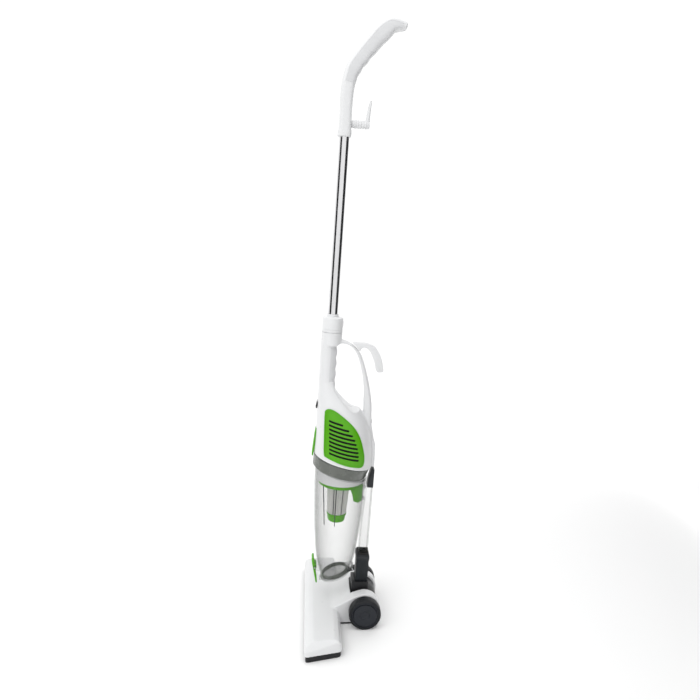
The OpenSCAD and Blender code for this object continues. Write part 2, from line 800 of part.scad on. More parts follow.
module handle_shell(s) {
  difference() {
    side(handle_outline, s > 0 ? 0 : -handle_x, s > 0 ? handle_x : 0);
    side(handle_hollow, s > 0 ? -1 : -handle_x + 3, s > 0 ? handle_x - 3 : 1);
    translate([0, pole_y, 920]) cylinder(r = pole_r, h = 32.4);
    translate([0, hook_root + 2, hook_axis_z]) rotate([90, 0, 0]) cylinder(r = hook_screw_r, h = 8);
    side(grip_outline, s > 0 ? handle_x - 1 : -handle_x - 1, s > 0 ? handle_x + 1 : 1 - handle_x);
  }
}

// The textured panel let into each side of the handle
grip_outline = let(n = len(handle_line) - 2, from = 4, a = handle_edge(1, 7.5),
  b = handle_edge(-1, 1.4))
  concat(fine_path([for (i = [from:n]) a[i]]), backwards(fine_path([for (i = [from:n]) b[i]])));

module handle_shell_left() { color(white) upright() handle_shell(1); }
module handle_shell_right() {
  color(white) upright() difference() {
    handle_shell(-1);
    for (p = handle_screw_places) x_rod(3.2, -handle_x - 1, -handle_x + 2.4, p[0], p[1]);
  }
}
module handle_grip_left() {
  color("gainsboro") upright() side(around(grip_outline, [-50, 1085], 0.995), handle_x - 0.9,
    handle_x);
}
module handle_grip_right() {
  color("gainsboro") upright() difference() {
    side(around(grip_outline, [-50, 1085], 0.995), -handle_x, -handle_x + 0.9);
    for (p = handle_screw_places) x_rod(3.2, -handle_x - 1, -handle_x + 2.4, p[0], p[1]);
  }
}

module handle_screws() {
  color(steel) upright() for (p = handle_screw_places)
    x_rod(3, -handle_x + 0.9, -handle_x + 2.3, p[0], p[1]);
}

module hook_screw() {
  color(steel) upright() translate([0, pole_y + pole_r + gap, hook_axis_z]) rotate([-90, 0, 0])
    cylinder(r = hook_screw_r, h = 29.2);
}

module upper_cord_hook() {
  color(white) upright() difference() {
    union() {
      translate([0, -54.5, hook_axis_z]) rotate([90, 0, 0]) cylinder(r = 6.6, h = -54.5 - hook_root);
      for (k = [0:4]) translate([0, -60 - k * 4.6, hook_axis_z]) rotate([90, 0, 0])
        cylinder(r = 7.4, h = 2.2);
      both_sides(round_corners([[-62, 952], [-61.5, 962], [-57, 991], [-51.6, 991.6], [-54.4, 962],
        [-54.5, 952]], 1.5, 2), 4.5);
    }
    translate([0, -58, hook_axis_z]) rotate([90, 0, 0]) cylinder(r = hook_screw_r + running, h = 30);
  }
}

// ---------------------------------------------------------------- nodes

head_shell();
base_plate();
lint_strips();
base_screws();
wheel_axles();
roller_pins();
wheel_hub_left();
wheel_tyre_left();
wheel_hub_right();
wheel_tyre_right();
roller_left();
roller_right();
neck_barrel();
connector();
head_release_button();
suction_duct();
duct_cap();
duct_seal();
bin_cup();
bin_ring();
cyclone_disc();
pleated_filter();
filter_cap();
premotor_foam();
foam_holder();
latch_pin();
lid_hinge_pin();
bin_lid();
lid_seal();
lid_latch();
fan_housing();
motor_can();
motor_mount();
motor_shaft();
impeller();
body_shell_left();
body_shell_right();
vent_cover_left();
vent_cover_right();
exhaust_foam_left();
exhaust_foam_right();
bin_release_button();
release_pin();
power_switch();
switch_block();
lower_cord_hook();
cord_gland();
body_screws();
pole_collar();
pole_release_button();
pole_tube();
handle_shell_left();
handle_shell_right();
handle_grip_left();
handle_grip_right();
handle_screws();
hook_screw();
upper_cord_hook();
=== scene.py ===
"""Looks of the upright vacuum cleaner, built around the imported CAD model.

Pieces of the upright are modelled in millimetres as if it stood plumb, with y measured from the
wheel axle and z from the floor, and PLUMB carries them into the row frame.
"""
import json
import math

import bmesh
import bpy
from mathutils import Matrix, Vector
from mathutils.bvhtree import BVHTree


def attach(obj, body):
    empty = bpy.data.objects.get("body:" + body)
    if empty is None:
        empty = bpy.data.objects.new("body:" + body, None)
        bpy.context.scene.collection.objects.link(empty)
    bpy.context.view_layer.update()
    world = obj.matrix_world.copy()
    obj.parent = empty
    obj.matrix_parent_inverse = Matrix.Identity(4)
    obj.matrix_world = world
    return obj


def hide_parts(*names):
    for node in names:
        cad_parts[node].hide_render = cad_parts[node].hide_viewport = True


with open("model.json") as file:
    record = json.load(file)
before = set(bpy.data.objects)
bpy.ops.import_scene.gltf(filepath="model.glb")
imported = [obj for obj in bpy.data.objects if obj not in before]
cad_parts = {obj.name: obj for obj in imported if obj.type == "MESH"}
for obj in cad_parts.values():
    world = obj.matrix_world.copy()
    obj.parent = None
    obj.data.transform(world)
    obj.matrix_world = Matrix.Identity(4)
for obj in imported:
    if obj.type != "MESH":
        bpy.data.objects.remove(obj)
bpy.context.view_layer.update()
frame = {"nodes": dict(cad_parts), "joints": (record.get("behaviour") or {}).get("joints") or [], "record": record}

# ------------------------------------------------------------------ the CAD's own places
MM = 0.001
joints = {j["name"]: j for j in frame["joints"]}
axle = Vector(joints["neck_tilt"]["pos_m"])
up_axis = Vector(joints["pole_lift"]["axis"])
LEAN = math.atan2(up_axis.y, up_axis.z)
SCALE = Matrix.Scale(MM, 4)
TILT = Matrix.Translation(axle) @ Matrix.Rotation(-LEAN, 4, "X")
PLUMB = TILT @ Matrix.Translation((0, 0, -axle.z)) @ SCALE
HEAD = Matrix.Translation((0, axle.y, 0)) @ SCALE
MIRROR = Matrix.Scale(-1, 4, (1, 0, 0))


def span(node, place=PLUMB):
    """Lowest and highest corner of a CAD node in a local frame, in its millimetres."""
    back = place.inverted()
    points = [back @ v.co for v in frame["nodes"][node].data.vertices]
    low = Vector([min(p[i] for p in points) for i in range(3)])
    high = Vector([max(p[i] for p in points) for i in range(3)])
    return low, high


# ------------------------------------------------------------------ materials
def new_material(name):
    m = bpy.data.materials.new(name)
    m.use_nodes = True
    nodes, links = m.node_tree.nodes, m.node_tree.links
    nodes.clear()
    out = nodes.new("ShaderNodeOutputMaterial")
    shader = nodes.new("ShaderNodeBsdfPrincipled")
    links.new(shader.outputs["BSDF"], out.inputs["Surface"])
    return m, nodes, links, shader


def noise_field(nodes, links, scale, detail=3.0, stretch=(1, 1, 1)):
    where = nodes.new("ShaderNodeTexCoord")
    mapping = nodes.new("ShaderNodeMapping")
    mapping.inputs["Scale"].default_value = stretch
    links.new(where.outputs["Object"], mapping.inputs["Vector"])
    noise = nodes.new("ShaderNodeTexNoise")
    noise.inputs["Scale"].default_value = scale
    noise.inputs["Detail"].default_value = detail
    links.new(mapping.outputs["Vector"], noise.inputs["Vector"])
    return noise.outputs["Fac"]


def spread(nodes, links, field, low, high):
    """A noise field stretched onto low..high."""
    r = nodes.new("ShaderNodeMapRange")
    r.inputs["From Min"].default_value = 0.3
    r.inputs["From Max"].default_value = 0.7
    r.inputs["To Min"].default_value = low
    r.inputs["To Max"].default_value = high
    links.new(field, r.inputs["Value"])
    return r.outputs["Result"]


def tint(nodes, links, field, colour, change):
    """The colour, a little darker and lighter with the field."""
    ramp = nodes.new("ShaderNodeValToRGB")
    ramp.color_ramp.elements[0].position = 0.35
    ramp.color_ramp.elements[1].position = 0.65
    ramp.color_ramp.elements[0].color = [c * (1 - change) for c in colour] + [1]
    ramp.color_ramp.elements[1].color = [min(1, c * (1 + change)) for c in colour] + [1]
    links.new(field, ramp.inputs["Fac"])
    return ramp.outputs["Color"]


def moulded(name, colour, rough, change=0.02, grain=0.12, grain_scale=900, coat=0.0):
    """Moulded plastic: uneven gloss, a faint mottle, and a spark-eroded grain where it has one."""
    m, nodes, links, shader = new_material(name)
    mottle = noise_field(nodes, links, 34, 4)
    links.new(tint(nodes, links, mottle, colour, change), shader.inputs["Base Color"])
    handling = noise_field(nodes, links, 75, 5)
    gloss = spread(nodes, links, handling, rough * 0.8, rough * 1.25)
    links.new(gloss, shader.inputs["Roughness"])
    shader.inputs["Coat Weight"].default_value = coat
    shader.inputs["Coat Roughness"].default_value = 0.12
    shader.inputs["Specular IOR Level"].default_value = 0.36
    bump = nodes.new("ShaderNodeBump")
    bump.inputs["Strength"].default_value = grain
    bump.inputs["Distance"].default_value = 0.00012
    links.new(noise_field(nodes, links, grain_scale, 2), bump.inputs["Height"])
    links.new(bump.outputs["Normal"], shader.inputs["Normal"])
    return m


def clear_plastic(name, colour, alpha_face, alpha_edge, rough=0.08):
    """Clear moulding: nearly see-through face on, denser where it is seen edge on."""
    m, nodes, links, shader = new_material(name)
    haze = noise_field(nodes, links, 46, 5)
    links.new(tint(nodes, links, haze, colour, 0.06), shader.inputs["Base Color"])
    links.new(spread(nodes, links, haze, rough, rough * 2), shader.inputs["Roughness"])
    edge = nodes.new("ShaderNodeLayerWeight")
    edge.inputs["Blend"].default_value = 0.2
    dense = nodes.new("ShaderNodeMapRange")
    dense.inputs["To Min"].default_value = alpha_face
    dense.inputs["To Max"].default_value = alpha_edge
    links.new(edge.outputs["Facing"], dense.inputs["Value"])
    links.new(dense.outputs["Result"], shader.inputs["Alpha"])
    bump = nodes.new("ShaderNodeBump")
    bump.inputs["Strength"].default_value = 0.08
    bump.inputs["Distance"].default_value = 0.0002
    links.new(noise_field(nodes, links, 60, 2), bump.inputs["Height"])
    links.new(bump.outputs["Normal"], shader.inputs["Normal"])
    return m


def metal(name, colour, rough, stretch=(1, 1, 0.04), scale=700, strength=0.1):
    """Drawn or turned metal with fine lines along or round it."""
    m, nodes, links, shader = new_material(name)
    shader.inputs["Metallic"].default_value = 1.0
    lines = noise_field(nodes, links, scale, 3, stretch)
    links.new(tint(nodes, links, lines, colour, 0.05), shader.inputs["Base Color"])
    links.new(spread(nodes, links, lines, rough * 0.7, rough * 1.4), shader.inputs["Roughness"])
    bump = nodes.new("ShaderNodeBump")
    bump.inputs["Strength"].default_value = strength
    bump.inputs["Distance"].default_value = 0.00005
    links.new(lines, bump.inputs["Height"])
    links.new(bump.outputs["Normal"], shader.inputs["Normal"])
    return m


def cloth(name, colour, scale, strength, change=0.25):
    """Foam, pile and filter fleece: rough, pitted and uneven."""
    m, nodes, links, shader = new_material(name)
    pits = nodes.new("ShaderNodeTexVoronoi")
    pits.inputs["Scale"].default_value = scale
    where = nodes.new("ShaderNodeTexCoord")
    links.new(where.outputs["Object"], pits.inputs["Vector"])
    links.new(tint(nodes, links, pits.outputs["Distance"], colour, change),
              shader.inputs["Base Color"])
    links.new(spread(nodes, links, pits.outputs["Distance"], 0.85, 1.0), shader.inputs["Roughness"])
    bump = nodes.new("ShaderNodeBump")
    bump.inputs["Strength"].default_value = strength
    bump.inputs["Distance"].default_value = 0.0008
    links.new(pits.outputs["Distance"], bump.inputs["Height"])
    links.new(bump.outputs["Normal"], shader.inputs["Normal"])
    return m


MATERIALS = {
    "white_shell": moulded("white_shell", (0.7, 0.705, 0.712), 0.34, 0.006, 0.03, 110, 0.15),
    "lime_plastic": moulded("lime_plastic", (0.078, 0.35, 0.001), 0.36, 0.04, 0.05, 160),
    "black_plastic": moulded("black_plastic", (0.006, 0.0065, 0.008), 0.42, 0.1, 0.3),
    "dark_grey_plastic": moulded("dark_grey_plastic", (0.013, 0.016, 0.019), 0.4, 0.08, 0.25),
    "smoke_clear": clear_plastic("smoke_clear", (0.12, 0.13, 0.12), 0.03, 0.7),
    "smoke_dark": clear_plastic("smoke_dark", (0.13, 0.14, 0.125), 0.8, 0.95, 0.16),
    "wheel_plastic": moulded("wheel_plastic", (0.008, 0.0105, 0.016), 0.38, 0.1, 0.3),
    "tyre_rubber": moulded("tyre_rubber", (0.006, 0.007, 0.0095), 0.5, 0.15, 0.5, 600),
    "soft_rubber": moulded("soft_rubber", (0.02, 0.02, 0.02), 0.7, 0.15, 0.5, 500),
    "pole_metal": metal("pole_metal", (0.72, 0.72, 0.73), 0.13),
    "steel": metal("steel", (0.55, 0.55, 0.56), 0.25, (1, 1, 1), 400),
    "motor_metal": metal("motor_metal", (0.4, 0.41, 0.42), 0.35, (1, 1, 1), 260),
    "lint_pile": cloth("lint_pile", (0.42, 0.03, 0.03), 1500, 0.9),
    "filter_cloth": cloth("filter_cloth", (0.62, 0.62, 0.6), 1200, 0.3, 0.08),
    "foam": cloth("foam", (0.004, 0.004, 0.004), 700, 0.9),
    "grip_texture": moulded("grip_texture", (0.64, 0.645, 0.655), 0.6, 0.03, 0.5, 420),
}

# ------------------------------------------------------------------ mesh tools
node_body = {n: body for body, ns in frame["record"]["behaviour"]["bodies"].items() for n in ns}
node_slot = {s["node"]: s["material_slot"] for s in frame["record"]["subparts"]}


def new_object(name, verts, faces):
    mesh = bpy.data.meshes.new(name)
    mesh.from_pydata([tuple(v) for v in verts], [], faces)
    obj = bpy.data.objects.new(name, mesh)
    bpy.context.scene.collection.objects.link(obj)
    tidy_normals(obj)
    return obj


def tidy_normals(obj):
    bm = bmesh.new()
    bm.from_mesh(obj.data)
    bmesh.ops.recalc_face_normals(bm, faces=bm.faces)
    bm.to_mesh(obj.data)
    bm.free()


def drop(*objs):
    for o in objs:
        mesh = o.data
        bpy.data.objects.remove(o)
        bpy.data.meshes.remove(mesh)


def applied(obj):
    """The object with its modifiers made into mesh."""
    graph = bpy.context.evaluated_depsgraph_get()
    mesh = bpy.data.meshes.new_from_object(obj.evaluated_get(graph))
    old = obj.data
    obj.modifiers.clear()
    obj.data = mesh
    bpy.data.meshes.remove(old)
    return obj


def edge_bevel(obj, width, segments=2, angle=32):
    m = obj.modifiers.new("edges", "BEVEL")
    m.width = width
    m.segments = segments
    m.limit_method = "ANGLE"
    m.angle_limit = math.radians(angle)
    m.use_clamp_overlap = True
    return applied(obj)


def boolean(obj, other, operation="DIFFERENCE", solver="EXACT"):
    m = obj.modifiers.new("cut", "BOOLEAN")
    m.operation = operation
    m.solver = solver
    m.object = other
    applied(obj)
    drop(other)
    return obj


def join(objs):
    """One object with all their meshes."""
    bm = bmesh.new()
    for o in objs:
        bm.from_mesh(o.data)
    mesh = bpy.data.meshes.new(objs[0].name)
    bm.to_mesh(mesh)
    bm.free()
    obj = bpy.data.objects.new(objs[0].name, mesh)
    bpy.context.scene.collection.objects.link(obj)
    drop(*objs)
    return obj


def fuse(objs, voxel, smooth):
    """Overlapping solids melted into one, with small fillets where they meet."""
    obj = join(objs)
    m = obj.modifiers.new("melt", "REMESH")
    m.mode = "VOXEL"
    m.voxel_size = voxel
    applied(obj)
    if smooth:
        m = obj.modifiers.new("soften", "SMOOTH")
        m.factor = 0.5
        m.iterations = smooth
        applied(obj)
    return obj


def sliced(obj, point, outward, fill=True):
    """The object without what lies beyond a plane."""
    bm = bmesh.new()
    bm.from_mesh(obj.data)
    geom = bm.verts[:] + bm.edges[:] + bm.faces[:]
    bmesh.ops.bisect_plane(bm, geom=geom, plane_co=point, plane_no=outward, clear_outer=True)
    if fill:
        rim = [e for e in bm.edges if e.is_boundary]
        bmesh.ops.triangle_fill(bm, edges=rim, use_beauty=True)
    bmesh.ops.recalc_face_normals(bm, faces=bm.faces)
    bm.to_mesh(obj.data)
    bm.free()
    return obj


def twin(obj, name):
    other = obj.copy()
    other.data = obj.data.copy()
    other.name = name
    bpy.context.scene.collection.objects.link(other)
    return other


def settle(obj, name, node, place=PLUMB, replaces=None, slot=None, sharp=38):
    """Puts a finished piece in its place, with its finish, its body and the CAD nodes it stands for."""
    obj.name = name
    obj.data.transform(place)
    if place.determinant() < 0:
        obj.data.flip_normals()
    obj.data.shade_smooth()
    obj.data.set_sharp_from_angle(angle=math.radians(sharp))
    slot = slot or node_slot[node]
    obj.data.materials.clear()
    obj.data.materials.append(MATERIALS[slot])
    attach(obj, node_body[node])
    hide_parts(*([node] if replaces is None else replaces))
    return obj


def loft(rings, closed_ends=True):
    n = len(rings[0])
    verts = [v for r in rings for v in r]
    faces = [(i * n + k, i * n + (k + 1) % n, (i + 1) * n + (k + 1) % n, (i + 1) * n + k)
             for i in range(len(rings) - 1) for k in range(n)]
    if closed_ends:
        faces += [tuple(range(n))[::-1], tuple((len(rings) - 1) * n + k for k in range(n))]
    return new_object("loft", verts, faces)


def lathe(profile, turns=72, centre=(0, 0), wobble=None):
    """A closed (radius, height) profile turned about a vertical axis at (x, y)."""
    verts, faces, m = [], [], len(profile)
    for k in range(turns):
        a = 2 * math.pi * k / turns
        for r, z in profile:
            q = r * (wobble(a, z) if wobble else 1)
            verts.append((centre[0] + q * math.cos(a), centre[1] + q * math.sin(a), z))
    for k in range(turns):
        for i in range(m):
            j = (i + 1) % m
            a, b = k * m, ((k + 1) % turns) * m
            faces.append((a + i, a + j, b + j, b + i))
    return new_object("lathe", verts, faces)


def disc_profile(r, z0, z1, edge=0.6, hole=0.0):
    """Profile of a plain turned disc with rounded outer edges."""
    inner = max(hole, 0.01)
    return [(inner, z0), (r - edge, z0), (r - edge * 0.3, z0 + edge * 0.3), (r, z0 + edge),
            (r, z1 - edge), (r - edge * 0.3, z1 - edge * 0.3), (r - edge, z1), (inner, z1)]


def prism(outline, x0, x1):
    """A (y, z) outline given thickness along X."""
    n = len(outline)
    verts = [(x0, y, z) for y, z in outline] + [(x1, y, z) for y, z in outline]
    faces = [(k, (k + 1) % n, n + (k + 1) % n, n + k) for k in range(n)]
    faces += [tuple(range(n))[::-1], tuple(range(n, 2 * n))]
    return new_object("prism", verts, faces)


def block(low, high):
    (x0, y0, z0), (x1, y1, z1) = low, high
    return prism([(y0, z0), (y1, z0), (y1, z1), (y0, z1)], x0, x1)


def rod(r, x0, x1, y, z, turns=32, edge=0.3):
    """A round bar along X."""
    obj = lathe(disc_profile(r, x0, x1, edge), turns)
    obj.data.transform(Matrix.Translation((0, y, z)) @ Matrix.Rotation(math.pi / 2, 4, "Y"))
    return obj


def spline(points, steps):
    """A smooth path through points of any size."""
    out, last = [], len(points) - 1
    vectors = [Vector(p) for p in points]
    for i in range(last):
        a, b = vectors[max(i - 1, 0)], vectors[i]
        c, d = vectors[i + 1], vectors[min(i + 2, last)]
        for k in range(steps):
            t = k / steps
            out.append(0.5 * (2 * b + (c - a) * t + (2 * a - 5 * b + 4 * c - d) * t * t
                              + (3 * b - a - 3 * c + d) * t ** 3))
    out.append(vectors[-1])
    return out


def smooth_loop(points, steps=4):
    wrapped = [points[-1]] + list(points) + list(points[:2])
    path = spline(wrapped, steps)
    return [tuple(p) for p in path[steps:-steps - 1]]


def squircle(n, power):
    """Unit points round a rounded square: power 2 is a circle, more is squarer."""
    out = []
    for k in range(n):
        a = 2 * math.pi * k / n
        c, s = math.cos(a), math.sin(a)
        out.append((math.copysign(abs(c) ** (2 / power), c), math.copysign(abs(s) ** (2 / power), s)))
    return out


def swept(stations, half_x, power=2.6, count=28, shape=None, steps=4, nose=0, tail=0):
    """A bar along (y, z, half thickness) stations in the YZ plane, rounded in section.

    nose and tail are how far the two ends are rounded over.
    """
    path = spline([Vector(s) for s in stations], steps)
    centre = [Vector((0, p[0], p[1])) for p in path]
    run = [0.0]
    for a, b in zip(centre, centre[1:]):
        run.append(run[-1] + (b - a).length)
    rings = []
    for i, p in enumerate(centre):
        d = (centre[min(i + 1, len(centre) - 1)] - centre[max(i - 1, 0)]).normalized()
        normal = Vector((0, -d.z, d.y))
        width = half_x(run[i] / run[-1]) if callable(half_x) else half_x
        ring = []
        for cx, cn in squircle(count, power):
            thick = path[i][2] * (shape(run[i], cn) if shape else 1)
            ring.append(p + Vector((cx * width, 0, 0)) + normal * cn * thick)
        rings.append(ring)

    def cap(ring, d, size):
        mid = sum(ring, Vector()) / len(ring)
        out = []
        for k in range(1, 6):
            a = k / 5.5 * math.pi / 2
            out.append([mid + (v - mid) * math.cos(a) + d * size * math.sin(a) for v in ring])
        return out

    if nose:
        rings = rings + cap(rings[-1], (centre[-1] - centre[-2]).normalized(), nose)
    if tail:
        rings = cap(rings[0], (centre[0] - centre[1]).normalized(), tail)[::-1] + rings
    return loft(rings)


def surface_tree(obj):
    bm = bmesh.new()
    bm.from_mesh(obj.data)
    tree = BVHTree.FromBMesh(bm)
    bm.free()
    return tree


def laid_panel(outline, cutters, tree, lift, thick, step=1.5):
    """A panel with this (y, z) outline that lies on the +X side of a surface."""
    ys, zs = [p[0] for p in outline], [p[1] for p in outline]
    y0, z0 = min(ys) - 2, min(zs) - 2
    ny, nz = int((max(ys) + 2 - y0) / step) + 1, int((max(zs) + 2 - z0) / step) + 1
    grid = [(0, y0 + i * step, z0 + j * step) for i in range(ny + 1) for j in range(nz + 1)]
    grid += [(10, y, z) for _, y, z in grid]
    m, layer = nz + 1, (ny + 1) * (nz + 1)
    faces = []
    for i in range(ny):
        for j in range(nz):
            q = (i * m + j, (i + 1) * m + j, (i + 1) * m + j + 1, i * m + j + 1)
            faces += [q[::-1], tuple(layer + v for v in q)]
    edge = [i * m for i in range(ny + 1)] + [ny * m + j for j in range(1, m)]
    edge += [i * m + m - 1 for i in range(ny - 1, -1, -1)] + [j for j in range(m - 2, 0, -1)]
    for a, b in zip(edge, edge[1:] + edge[:1]):
        faces.append((a, b, layer + b, layer + a))
    obj = new_object("panel", grid, faces)
    boolean(obj, prism(outline, -5, 15), "INTERSECT")
    for c in cutters:
        boolean(obj, c)
    for v in obj.data.vertices:
        hit = tree.ray_cast(Vector((200, v.co.y, v.co.z)), Vector((-1, 0, 0)))
        if hit[0] is None:
            hit = tree.find_nearest(Vector((30, v.co.y, v.co.z)))
        v.co.x = hit[0].x + lift + thick * v.co.x / 10
    return obj


def cad_copy(name, node, edge=0.4, slot=None, replaces=None):
    """A CAD node's own shape with its edges rounded as a mould leaves them."""
    obj = bpy.data.objects.new(name, frame["nodes"][node].data.copy())
    bpy.context.scene.collection.objects.link(obj)
    bm = bmesh.new()
    bm.from_mesh(obj.data)
    bmesh.ops.remove_doubles(bm, verts=bm.verts, dist=2e-6)
    bmesh.ops.dissolve_limit(bm, angle_limit=math.radians(0.8), verts=bm.verts, edges=bm.edges)
    bm.to_mesh(obj.data)
    bm.free()
    if edge:
        edge_bevel(obj, edge * MM)
    return settle(obj, name, node, Matrix.Identity(4), replaces, slot)


def repaint(*names):
    """CAD nodes whose shape is right keep it and take the finish of their slot."""
    for n in names:
        obj = frame["nodes"][n]
        obj.data.materials.clear()
        obj.data.materials.append(MATERIALS[node_slot[n]])


# ------------------------------------------------------------------ frames of the sloped joints
lid_hinge = PLUMB.inverted() @ Vector(joints["lid_swing"]["pos_m"])
LID_SLOPE = math.radians(20)
HINGE_IN_LID = Vector((0, 39.6, 2.6))
RING_SLOPE = math.radians(12.3)
lid_turn = Matrix.Rotation(LID_SLOPE, 4, "X")
LID = Matrix.Translation(lid_hinge - lid_turn @ HINGE_IN_LID) @ lid_turn
RING = Matrix.Translation((0, -61, 328.5)) @ Matrix.Rotation(-RING_SLOPE, 4, "X")


def plane_of(place, height):
    """Point and upward normal of a plane at a height in a sloped frame."""
    return place @ Vector((0, 0, height)), (place.to_3x3() @ Vector((0, 0, 1))).normalized()


# ------------------------------------------------------------------ motor housing, grip and strap
POLE_Y, GRIP_Y, COLLAR_Y = -97.5, -101.4, -96.8
GRIP_R, COLLAR_R, SEAM_Z = 15, 19.2, 577
HOUSING = [(300, -118, -4, 57), (341, -117.5, -3.5, 57), (367, -116.4, -6.5, 55),
           (393, -116, -13, 49.5), (415, -116, -23, 41.5), (436, -116.3, -38, 32.5),
           (458, -116.3, -64, 23), (482, -116.3, -84, 15.5)]
STRAP = [(-8, 306, 9), (-8, 340, 9.4), (-11, 366, 8.8), (-17.5, 400, 8.4), (-20, 440, 7.6),
         (-25.5, 475, 6), (-34, 506, 5.6), (-44.5, 534, 5.2), (-57, 549, 5.2), (-72, 556.5, 5.6),
         (-88, 558.5, 6)]
LOOP_HOLE = smooth_loop([(-87, 550), (-85.6, 539), (-87.4, 528), (-85.4, 517), (-87.3, 506),
                         (-85.2, 495), (-87.2, 484), (-86.6, 472), (-81, 460.5), (-71, 448.5),
                         (-60, 437), (-47.6, 429.3), (-36, 430.5), (-29.6, 440), (-28, 457.5),
                         (-29.8, 477), (-35.7, 505.5), (-45.3, 533.5), (-57.8, 551),
                         (-72, 556.5), (-82, 555.5)])


def housing_solid():
    rings = []
    for z, front, rear, half in spline(HOUSING, 6):
        mid, deep = (front + rear) / 2, (rear - front) / 2
        rings.append([Vector((half * c, mid + deep * s, z)) for c, s in squircle(96, 2.06)])
    return loft(rings)


def column(radius, y, z0, z1):
    return lathe(disc_profile(radius, z0, z1), 72, (0, y))


def body_solid():
    """The whole white body before it is parted into its two shells."""
    solids = [housing_solid(), column(GRIP_R, GRIP_Y, 430, SEAM_Z + 2),
              column(COLLAR_R, COLLAR_Y, 552, SEAM_Z + 2), swept(STRAP, 9, 3.2, steps=5)]
    for s in solids:
        boolean(s, prism(LOOP_HOLE, -60, 60))
    spine = [(y + t * 0.92, z + t * 0.25, 1.1) for y, z, t in STRAP[1:-2]]
    solids.append(swept(spine, 3.2, 3, count=16, steps=5))
    body = fuse(solids, 1.1, 9)
    point, up = plane_of(RING, 0.3)
    sliced(body, point, -up, fill=False)
    return sliced(body, Vector((0, 0, SEAM_Z)), Vector((0, 0, 1)), fill=False)


RELEASE_WINDOW = ((-9.8, -130, 338), (9.8, -112, 389.4))
SWITCH_WINDOW = ((-4.2, -130, 429), (4.2, -108, 450))
SHELL_WALL = 1.8


def half_shell(body, name, node, side):
    """One moulded half: cut at the seam, opened for the front controls, and given its wall."""
    shell = sliced(twin(body, name), Vector((side * 0.14, 0, 0)), Vector((-side, 0, 0)), False)
    m = shell.modifiers.new("wall", "SOLIDIFY")
    m.thickness = SHELL_WALL
    m.offset = -1
    applied(shell)
    boolean(shell, block(*RELEASE_WINDOW))
    boolean(shell, block(*SWITCH_WINDOW))
    return settle(shell, name, node, sharp=70)


body = body_solid()
body_tree = surface_tree(body)
half_shell(body, "housing_shell_left", "body_shell_left", 1)
half_shell(body, "housing_shell_right", "body_shell_right", -1)
drop(body)

FINGER_PITCH, STRIP_ARC = 21.4, 75
STRIP_LOW, STRIP_STEP, STRIP_RINGS = 470, 1.5, 53
FINGER_REST = 474


def finger_strip():
    """The waved band for the fingers down the rear of the column."""
    rings = []
    for k in range(STRIP_RINGS):
        z = STRIP_LOW + k * STRIP_STEP
        wave = 0.5 + 0.5 * math.cos(2 * math.pi * (z - FINGER_REST) / FINGER_PITCH)
        turns = [math.radians(-STRIP_ARC + 2 * STRIP_ARC * i / 18) for i in range(19)]
        outer = [(GRIP_R + 0.25 + 1.5 * wave * math.cos(a) ** 2, a) for a in turns]
        inner = [(GRIP_R - 0.6, a) for a in reversed(turns)]
        rings.append([Vector((q * math.sin(a), GRIP_Y + q * math.cos(a), z))
                      for q, a in outer + inner])
    settle(loft(rings), "finger_strip", "body_shell_left", replaces=[], slot="grip_texture", sharp=60)


def gland_ribs():
    """Two upright ribs that guard the cord gland at the rear."""
    side = [(-7, 316), (1.8, 316), (1.8, 337), (0.9, 362), (-1.5, 368), (-8.5, 374)]
    for x, suffix in ((7.4, "left"), (-9.6, "right")):
        rib = edge_bevel(prism(side, x, x + 2.2), 0.7)
        settle(rib, "gland_rib_" + suffix, "body_shell_" + suffix, replaces=[])


finger_strip()
gland_ribs()

# ------------------------------------------------------------------ vent covers
VENT = smooth_loop([(-102.4, 424), (-100.6, 431.6), (-94.9, 434.9), (-84.9, 433.3), (-72, 426),
                    (-56.4, 414.7), (-42.9, 401.3), (-32.9, 384.8), (-26.5, 365.5),
                    (-22.8, 349.2), (-22.8, 334.6), (-27.9, 329.1), (-38.6, 330.2),
                    (-59.4, 334.6), (-79.7, 340.8), (-94.8, 345.6), (-99.8, 350), (-101.4, 381)])
VENT_FIELD = [(-96, 424), (-80, 416), (-71, 411), (-57, 400), (-49.3, 391.5), (-44, 383),
              (-40.2, 374), (-37.4, 366), (-35.4, 358), (-34.2, 350), (-33.4, 338), (-60, 344),
              (-92, 352)]
VENT_MID = (-62, 382)
SLOTS, SLOT_PITCH, SLOT_HALF = 9, 7.35, 2.0
SLOT_START, SLOT_TOP, SLOT_LEAN = -93.6, 414.1, 0.42
SLOT_FALL = math.tan(math.radians(12.9))


def around(outline, mid, k):
    return [(mid[0] + (y - mid[0]) * k, mid[1] + (z - mid[1]) * k) for y, z in outline]


def inside(outline, y, z):
    hit = False
    for (ya, za), (yb, zb) in zip(outline, outline[1:] + outline[:1]):
        if (za > z) != (zb > z) and y < ya + (z - za) * (yb - ya) / (zb - za):
            hit = not hit
    return hit


def slot_outline(k, field):
    """Slot k: a bar that falls to the rear, a little bowed, up to the panel's border."""
    start = SLOT_START + k * SLOT_LEAN

    def height(y):
        run = (y - start) / 70
        return SLOT_TOP - k * SLOT_PITCH - (y - start) * SLOT_FALL + 1.2 * run * run

    end = start + 6
    while inside(field, end + 1, height(end + 1)):
        end += 0.5
    steps = [start + (end - start) * i / 8 for i in range(9)]
    low = [(y, height(y) - SLOT_HALF) for y in steps]
    high = [(y, height(y) + SLOT_HALF) for y in reversed(steps)]
    return low + [(end + SLOT_HALF * 0.8, height(end))] + high


